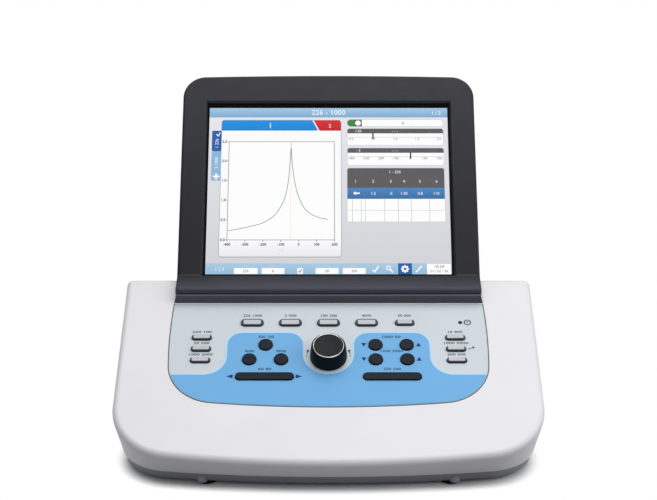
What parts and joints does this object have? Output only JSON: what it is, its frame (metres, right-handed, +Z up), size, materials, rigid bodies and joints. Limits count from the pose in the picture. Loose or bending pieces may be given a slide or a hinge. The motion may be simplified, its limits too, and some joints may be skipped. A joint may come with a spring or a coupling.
{
  "type": "tympanometer",
  "caption": "Desktop middle-ear tester: a wedge-shaped white base with a sloping key panel and a central knob, and a dark screen housing leaning back behind it.",
  "frame": {"origin": "on the table, under the middle of the whole instrument", "axes": "+X to the right as the user sees it, +Y away from the user, +Z up"},
  "size_m": [0.345, 0.297, 0.2729],
  "materials": {
    "case_white": "fine satin moulding",
    "tray_grey": "fine satin moulding",
    "housing_dark": "fine grained moulding",
    "housing_silver": "silver painted moulding",
    "panel_grey": "printed satin plate",
    "field_blue": "printed satin film",
    "key_light": "satin cap",
    "key_dark": "satin cap",
    "knob_dark": "satin moulding",
    "bright_metal": "polished plating",
    "steel": "plain machined and folded steel",
    "aluminium": "turned and milled",
    "black_plastic": "plain moulding",
    "socket_metal": "nickel plated",
    "rubber_black": "matt moulded rubber",
    "tube_clear": "soft translucent tube",
    "window_glass": "clear cover sheet",
    "lcd_dark": "display panel",
    "board_green": "lacquered circuit board",
    "lamp_smoked": "smoked lens",
    "motor_black": "black painted steel can"
  },
  "bodies": {
    "base": {"air_tube": "tube_clear", "base_bottom_cover": "tray_grey", "base_top_cover": "case_white", "board_screws": "steel", "case_screws": "steel", "chin_strip": "housing_dark", "control_panel": "panel_grey", "display_bezel": "housing_dark", "display_carrier": "steel", "display_rear_cover": "housing_silver", "display_window": "window_glass", "encoder": "black_plastic", "encoder_nut": "steel", "headphone_jacks": "black_plastic", "inlet_pins": "socket_metal", "key_board": "board_green", "key_switches": "black_plastic", "lcd_module": "lcd_dark", "main_board": "board_green", "panel_field": "field_blue", "power_inlet": "black_plastic", "power_light": "lamp_smoked", "power_switch": "black_plastic", "probe_socket": "socket_metal", "pump_bracket": "steel", "pump_cylinder": "aluminium", "pump_manifold": "aluminium", "pump_motor": "motor_black", "rear_socket_plate": "tray_grey", "rubber_feet": "rubber_black", "supply_board": "board_green", "usb_sockets": "socket_metal"},
    "top_key_1": {"top_key_1": "key_light"},
    "top_key_2": {"top_key_2": "key_light"},
    "top_key_3": {"top_key_3": "key_light"},
    "top_key_4": {"top_key_4": "key_light"},
    "top_key_5": {"top_key_5": "key_light"},
    "left_key_1": {"left_key_1": "key_light"},
    "left_key_2": {"left_key_2": "key_light"},
    "left_key_3": {"left_key_3": "key_light"},
    "right_key_1": {"right_key_1": "key_light"},
    "right_key_2": {"right_key_2": "key_light"},
    "right_key_3": {"right_key_3": "key_light"},
    "left_round_key_1": {"left_round_key_1": "key_dark"},
    "left_round_key_2": {"left_round_key_2": "key_dark"},
    "left_round_key_3": {"left_round_key_3": "key_dark"},
    "right_round_key_1": {"right_round_key_1": "key_dark"},
    "right_round_key_2": {"right_round_key_2": "key_dark"},
    "right_round_key_3": {"right_round_key_3": "key_dark"},
    "right_round_key_4": {"right_round_key_4": "key_dark"},
    "push_bar": {"push_bar": "key_dark"},
    "rocker_bar": {"rocker_bar": "key_dark"},
    "knob": {"knob_body": "knob_dark", "knob_ring": "bright_metal", "knob_cap": "knob_dark", "knob_shaft": "steel"},
    "power_rocker": {"power_rocker": "black_plastic"},
    "lead_screw": {"lead_screw": "steel"},
    "pump_piston": {"pump_piston": "black_plastic"}
  },
  "joints": [
    {"name": "top_key_1_press", "type": "slide", "parent": "base", "child": "top_key_1", "axis": [0, 0.4695, -0.8829], "range_m": [0, 0.001], "stiffness_N_per_m": 600, "springref_m": -0.001},
    {"name": "top_key_2_press", "type": "slide", "parent": "base", "child": "top_key_2", "axis": [0, 0.4695, -0.8829], "range_m": [0, 0.001], "stiffness_N_per_m": 600, "springref_m": -0.001},
    {"name": "top_key_3_press", "type": "slide", "parent": "base", "child": "top_key_3", "axis": [0, 0.4695, -0.8829], "range_m": [0, 0.001], "stiffness_N_per_m": 600, "springref_m": -0.001},
    {"name": "top_key_4_press", "type": "slide", "parent": "base", "child": "top_key_4", "axis": [0, 0.4695, -0.8829], "range_m": [0, 0.001], "stiffness_N_per_m": 600, "springref_m": -0.001},
    {"name": "top_key_5_press", "type": "slide", "parent": "base", "child": "top_key_5", "axis": [0, 0.4695, -0.8829], "range_m": [0, 0.001], "stiffness_N_per_m": 600, "springref_m": -0.001},
    {"name": "left_key_1_press", "type": "slide", "parent": "base", "child": "left_key_1", "axis": [0, 0.4695, -0.8829], "range_m": [0, 0.001], "stiffness_N_per_m": 600, "springref_m": -0.001},
    {"name": "left_key_2_press", "type": "slide", "parent": "base", "child": "left_key_2", "axis": [0, 0.4695, -0.8829], "range_m": [0, 0.001], "stiffness_N_per_m": 600, "springref_m": -0.001},
    {"name": "left_key_3_press", "type": "slide", "parent": "base", "child": "left_key_3", "axis": [0, 0.4695, -0.8829], "range_m": [0, 0.001], "stiffness_N_per_m": 600, "springref_m": -0.001},
    {"name": "right_key_1_press", "type": "slide", "parent": "base", "child": "right_key_1", "axis": [0, 0.4695, -0.8829], "range_m": [0, 0.001], "stiffness_N_per_m": 600, "springref_m": -0.001},
    {"name": "right_key_2_press", "type": "slide", "parent": "base", "child": "right_key_2", "axis": [0, 0.4695, -0.8829], "range_m": [0, 0.001], "stiffness_N_per_m": 600, "springref_m": -0.001},
    {"name": "right_key_3_press", "type": "slide", "parent": "base", "child": "right_key_3", "axis": [0, 0.4695, -0.8829], "range_m": [0, 0.001], "stiffness_N_per_m": 600, "springref_m": -0.001},
    {"name": "left_round_key_1_press", "type": "slide", "parent": "base", "child": "left_round_key_1", "axis": [0, 0.4695, -0.8829], "range_m": [0, 0.001], "stiffness_N_per_m": 600, "springref_m": -0.001},
    {"name": "left_round_key_2_press", "type": "slide", "parent": "base", "child": "left_round_key_2", "axis": [0, 0.4695, -0.8829], "range_m": [0, 0.001], "stiffness_N_per_m": 600, "springref_m": -0.001},
    {"name": "left_round_key_3_press", "type": "slide", "parent": "base", "child": "left_round_key_3", "axis": [0, 0.4695, -0.8829], "range_m": [0, 0.001], "stiffness_N_per_m": 600, "springref_m": -0.001},
    {"name": "right_round_key_1_press", "type": "slide", "parent": "base", "child": "right_round_key_1", "axis": [0, 0.4695, -0.8829], "range_m": [0, 0.001], "stiffness_N_per_m": 600, "springref_m": -0.001},
    {"name": "right_round_key_2_press", "type": "slide", "parent": "base", "child": "right_round_key_2", "axis": [0, 0.4695, -0.8829], "range_m": [0, 0.001], "stiffness_N_per_m": 600, "springref_m": -0.001},
    {"name": "right_round_key_3_press", "type": "slide", "parent": "base", "child": "right_round_key_3", "axis": [0, 0.4695, -0.8829], "range_m": [0, 0.001], "stiffness_N_per_m": 600, "springref_m": -0.001},
    {"name": "right_round_key_4_press", "type": "slide", "parent": "base", "child": "right_round_key_4", "axis": [0, 0.4695, -0.8829], "range_m": [0, 0.001], "stiffness_N_per_m": 600, "springref_m": -0.001},
    {"name": "push_bar_press", "type": "slide", "parent": "base", "child": "push_bar", "axis": [0, 0.4695, -0.8829], "range_m": [0, 0.001], "stiffness_N_per_m": 600, "springref_m": -0.001},
    {"name": "rocker_bar_tip", "type": "hinge", "parent": "base", "child": "rocker_bar", "pos_m": [-0.0518, -0.07343, 0.06645], "axis": [0, 0.8829, 0.4695], "range_deg": [-2, 2], "stiffness_Nm_per_rad": 0.3},
    {"name": "knob_turn", "type": "hinge", "parent": "base", "child": "knob", "pos_m": [0, -0.05696, 0.08042], "axis": [0, -0.4695, 0.8829], "continuous": true},
    {"name": "power_rocker_tip", "type": "hinge", "parent": "base", "child": "power_rocker", "pos_m": [0.054, 0.08847, 0.037], "axis": [-1, 0, 0], "range_deg": [0, 16]},
    {"name": "lead_screw_turn", "type": "hinge", "parent": "base", "child": "lead_screw", "pos_m": [0, 0.038, 0.037], "axis": [1, 0, 0], "range_deg": [0, 720]},
    {"name": "pump_slide", "type": "slide", "parent": "base", "child": "pump_piston", "axis": [-1, 0, 0], "range_m": [0, 0.024]}
  ],
  "couplings": [
    {"joint": "lead_screw_turn", "follows": "pump_slide", "rad_per_m": 523.6}
  ]
}
